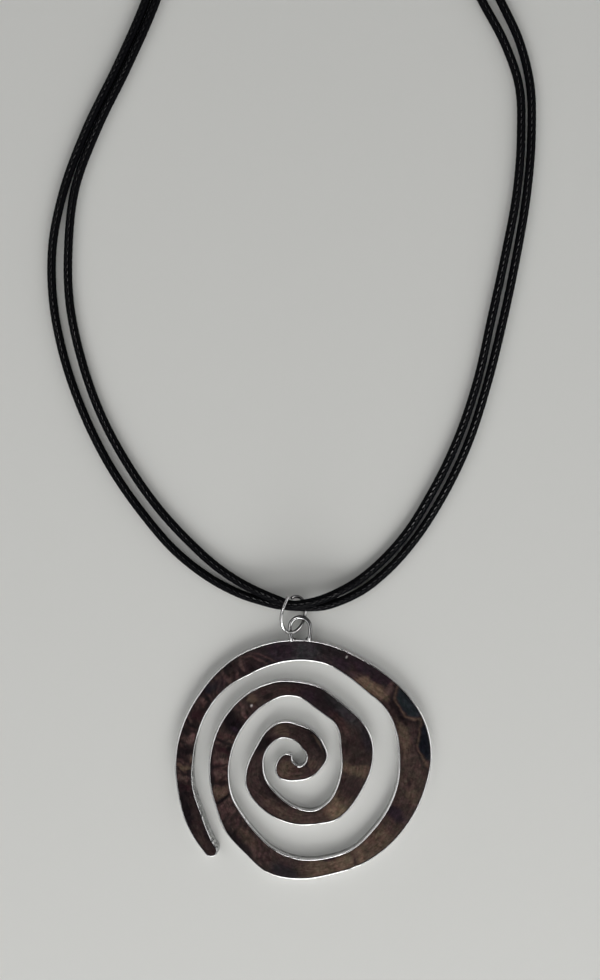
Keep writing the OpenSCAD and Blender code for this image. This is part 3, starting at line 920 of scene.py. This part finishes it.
def makeSpiral(part, materials):
    # The band's profile is carried along its four lines. Across the band, a point is a share of the
    # way from one line to another, and its height is that of the bottom, wall, rim or face there.
    lines, distance, run, fine = bandSections(part)
    thick, rise = part["thick"], np.linspace(0, 1, 9)
    faceShare = np.linspace(0, 1, 27)
    crest, fall = part["bead"]
    low, rimFoot, shoulder = 0.0, thick - part["groove"], thick - fall
    # Bead of the rim, from the face's edge over the top to the shoulder: a quarter ellipse up, and
    # an ellipse's arc from the lean to 90 degrees down, so that the bright rim leans outward
    lean = math.radians(part["lean"])
    arc = lean + rise * (np.pi / 2 - lean)
    quarter = rise * np.pi / 2
    beadUp = np.stack([crest * (1 - np.cos(quarter)), rimFoot + part["groove"] * np.sin(quarter)], 1)
    beadDown = np.stack([crest + (1 - crest) * (np.sin(arc) - math.sin(lean)) / (1 - math.sin(lean)),
                         shoulder + fall * np.cos(arc) / math.cos(lean)], 1)
    bead = np.vstack([beadUp, beadDown[1:]])
    inset = part["bottomEdge"]
    wall = (1.0, 0.4)
    foot = ((0.0, inset), (inset / 3, inset / 3), (inset, low))

    innerPlate, innerFace, outerFace, outerPlate = (lines[:, k] for k in range(4))
    width = np.linalg.norm(outerPlate - innerPlate, axis=1)
    toOuter = (outerPlate - innerPlate) / np.maximum(width, 1e-6)[:, None]
    room = np.minimum(1, width / (4 * inset))[:, None]

    # Small unevenness of the rim, its burrs, and the slope towards the tail
    angleHere = np.interp(distance, run, fine)
    drop = np.interp(angleHere, *np.array(part["bevel"])[:, [0, 2]].T)
    wobble = ripple(distance, 0.0, 21, 2.5, 0.6)
    uneven = [part["uneven"] * ripple(distance, side, 11 + side, 4, 0.7) for side in (0, 1)]
    burrs = [np.zeros(len(lines)), np.zeros(len(lines))]
    for place, side, high, half in part["burrs"]:
        burrs[side] += high * np.exp(-(((distance - np.interp(place, fine, run)) / half) ** 2))

    strips = []

    def add(place, height, across, face=False):
        strips.append((place, np.broadcast_to(height, len(lines)), across, face))

    def addSide(side, face, plate, inward, drop):
        # From the face's edge over the rim and down the wall
        rimPlace, wallPlace = part["beside"][side]
        for share, high in bead:
            height = high + math.sin(math.pi * min(1, share * 1.1)) * burrs[side] + uneven[side] * share
            sloped = max(0, (share - part["slopeFrom"]) / (1 - part["slopeFrom"]))
            slope = drop * sloped + part["slopeWaves"] * drop * math.sin(math.pi * sloped) * wobble
            add(face + (plate - face) * share, height - slope, rimPlace)
        for high in wall:
            add(plate, np.minimum(high, shoulder - drop - part["wallTop"]), wallPlace)
        for shift, high in foot:
            add(plate + inward * shift * room, high, wallPlace)

    # Outer side from the bottom up, over the face to the inner side, down, and along the bottom
    addSide(1, outerFace, outerPlate, -toOuter, 0)
    strips.reverse()
    faceWide = np.linalg.norm(outerFace - innerFace, axis=1)
    edgeFall, edgeWide = part["edgeFall"]
    for share in faceShare[::-1]:
        crown = part["crown"] * (1 - (2 * share - 1) ** 4) * np.minimum(1, faceWide / 2)
        swell = part["swell"] * ripple(distance, share * 4.5, 8, 9, 2.2) * np.minimum(1, faceWide / 2)
        edgeDrop = -edgeFall * (np.exp(-share / edgeWide) + np.exp(-(1 - share) / edgeWide))
        add(innerFace + (outerFace - innerFace) * share, rimFoot + crown + swell + edgeDrop, share, True)
    addSide(0, innerFace, innerPlate, toOuter, drop)
    for share in (0.25, 0.5, 0.75):
        add(innerPlate + (outerPlate - innerPlate) * share, low, share)

    flat, heights, across, faceColumns = (np.array(values) for values in zip(*strips))
    grid = np.dstack([flat.swapaxes(0, 1) + np.array(part["eye"]), heights.T])
    colours = np.ones((*grid.shape[:2], 4))
    # Strips off the face are painted ink. Only the bead's foot reads this colour, and there it is painted
    # shade in the groove.
    colours[..., :3] = linear("ink")
    colours[:, faceColumns, :3] = faceColours(part, distance, across[faceColumns], run, fine)
    uv = np.stack(np.meshgrid(distance / 10, np.append(across, across[0]), indexing="ij"), -1)
    # Material of each strip: 0 the face and the foot of the bead, whose ink is painted shade in the groove
    # beside the rim, 1 the polished rim, outer wall and back, 2 the filed slope and inner wall
    dark = np.any([np.roll(faceColumns, turn) for turn in range(-5, 6)], 0)
    slots = np.where(dark & np.roll(dark, -1), 0, 1) + np.zeros((len(grid) - 1, 1), int)
    innerRim, innerWall = part["beside"][0]
    filed = np.flatnonzero(across == innerRim)[part["brightStrips"]:-1]
    slots[:, filed] = np.where(drop[:-1, None] > 0.1, 2, 1)
    slots[:, (across == innerWall) & (np.roll(across, -1) == innerWall)] = 2
    return skin("spiral_plate", grid, materials, uv, slots, {"faceMark": colours})


def filedShadedMaterial():
    # The cut walls and the filed slope: duller metal with fine file marks. On the inner walls its dark colour
    # is also painted shade.
    material, tree, shader = newMaterial("filed metal with painted shade")
    place = objectPlace(tree)
    polish = placed(tree, handPolish, Vector=place, Scale=2.2)
    marks = noise(scaled(place, (1.0, 1.0, 0.3)), 2600.0, 4.0)
    height = plus(times(marks, 0.6), times(polish["Height"], 0.6))
    feed(shader, {
        # Dark grey, partly painted shade on the inner walls
        "Base Color": blended("MIX", polish["Wear"], (0.5, 0.505, 0.5, 1), (0.26, 0.26, 0.26, 1)),
        "Roughness": between(marks, 0.3, 0.7, 0.16, 0.34),
        "Normal": bumped(height, 0.0001, 0.7),
        "Metallic": 1.0,
    })
    return material


def faceMaterial():
    # Polished brown face: the painted marks, broken up by streaks along the band, a mottle and
    # flecks, with a tint that wavers between green and violet. The painted colours include painted shade
    # at the face's edges and painted glints.
    material, tree, shader = newMaterial("mottled brown face")
    place = objectPlace(tree)
    grain = placed(tree, streakyGrain, Vector=patternPlace(tree))
    polish = placed(tree, handPolish, Vector=place, Scale=0.8)
    flecks = noise(place, 1100.0, 3.0, 0.65, 0.6)
    light = times(between(grain["Streaks"], 0.3, 0.7, 0.62, 1.45),
                  between(grain["Mottle"], 0.3, 0.7, 0.72, 1.32))
    gain = times(light, between(flecks, 0.3, 0.7, 0.72, 1.5))
    tint = between(noise(place, 760.0, 3.0, 0.6, 0.8), 0.35, 0.65)
    hue = blended("MIX", tint, (0.92, 1.04, 1.0, 1), (1.09, 0.95, 1.06, 1))
    colour = tree.nodes.new("ShaderNodeVectorMath")
    colour.operation = "SCALE"
    plug(colour.inputs[0], blended("MULTIPLY", 1.0, painted(tree, "faceMark")["Color"], hue))
    plug(colour.inputs["Scale"], gain)
    height = plus(times(grain["Streaks"], 0.6), times(polish["Height"], 0.5))
    feed(shader, {
        "Base Color": colour.outputs[0],
        "Roughness": between(polish["Wear"], 0.0, 1.0, 0.24, 0.36),
        "Normal": bumped(height, 0.00004, 0.5),
        "Specular IOR Level": 0.14,
    })
    return material


spiralPlate = makeSpiral(spiral, [faceMaterial(), brightMetal, filedShadedMaterial()])
print("spiral made:", len(spiralPlate.data.polygons), "faces")


# Floor and light

studio = {
    "floorWide": 1.4,
    "floorColour": (0.76, 0.765, 0.745, 1),
    # Soft discs that all look at the aim. Each: name, heading and height in degrees, width, power
    "lights": [
        ("low", 270, 21, 0.7, 7.2),
        ("low_right", 315, 39, 0.7, 2.4),
        ("low_left", 225, 28, 0.7, 1.1),
        ("left", 180, 38, 0.7, 1.3),
        ("right", 0, 21, 0.7, 2.1),
        ("high_left", 135, 38, 0.7, 0.8),
        ("top", 90, 38, 0.7, 0.15),
        ("high", 124, 78, 0.2, 0.4),
    ],
    "aim": (0.0, 0.04, 0.0),
    "away": 1.0,
    "lightColour": (1.0, 0.995, 0.98),
    "overhead": (0.02, 0.02, 0.022, 1),     # straight above
    "around": (0.17, 0.172, 0.175, 1),      # towards the horizon
}


def makeFloor(part):
    # One flat square
    half = part["floorWide"] / 2
    mesh = bpy.data.meshes.new("floor")
    corners = [(-half, -half, 0), (half, -half, 0), (half, half, 0), (-half, half, 0)]
    mesh.from_pydata(corners, [], [(0, 1, 2, 3)])
    material, _, shader = newMaterial("pale floor")
    feed(shader, {"Base Color": part["floorColour"], "Roughness": 0.9, "Specular IOR Level": 0.1})
    mesh.materials.append(material)
    newObject("floor", mesh)


def makeLight(name, heading, height, width, power, part):
    # A disc on a dome round the aim: the aim plus the distance times the direction of its heading
    # and height.
    data = bpy.data.lights.new(name, "AREA")
    data.shape = "DISK"
    data.size = width
    data.energy = power
    data.color = part["lightColour"]
    turn, lift = math.radians(heading), math.radians(height)
    toLight = np.array([math.cos(lift) * math.cos(turn), math.cos(lift) * math.sin(turn), math.sin(lift)])
    light = newObject(name, data)
    light.location = np.array(part["aim"]) + part["away"] * toLight
    light.rotation_mode = "QUATERNION"
    light.rotation_quaternion = type(light.location)(toLight).to_track_quat("Z", "Y")
    light.visible_camera = False


def makeSky(part):
    # Dim straight above and bright towards the horizon, as a room with pale walls
    world = bpy.data.worlds.new("studio")
    bpy.context.scene.world = world
    world.use_nodes = True
    tree = world.node_tree
    direction = tree.nodes.new("ShaderNodeTexCoord").outputs["Generated"]
    share = between(axes(direction)["Z"], 0.3, 0.55)
    colour = blended("MIX", share, part["around"], part["overhead"])
    feed(tree.nodes["Background"], {"Color": colour})


makeFloor(studio)
for light in studio["lights"]:
    makeLight(*light, studio)
makeSky(studio)
bpy.context.scene.view_settings.view_transform = "Standard"
print("floor and light made")


# Each piece joins the root body, and the imported part that it stands for is hidden

for piece, node, slot in (
    (spiralPlate, "spiral_pendant", "spiral"),
    (loopOfWire, "spiral_pendant", "bright_metal"),
    (wireRing, "jump_ring", "bright_metal"),
    (innerStrand, "cord_inner", "cord"),
    (outerStrand, "cord_outer", "cord"),
    (turnedClasp, "clasp", "bright_metal"),
):
    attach(piece, body)
    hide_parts(node)

print("pieces placed")
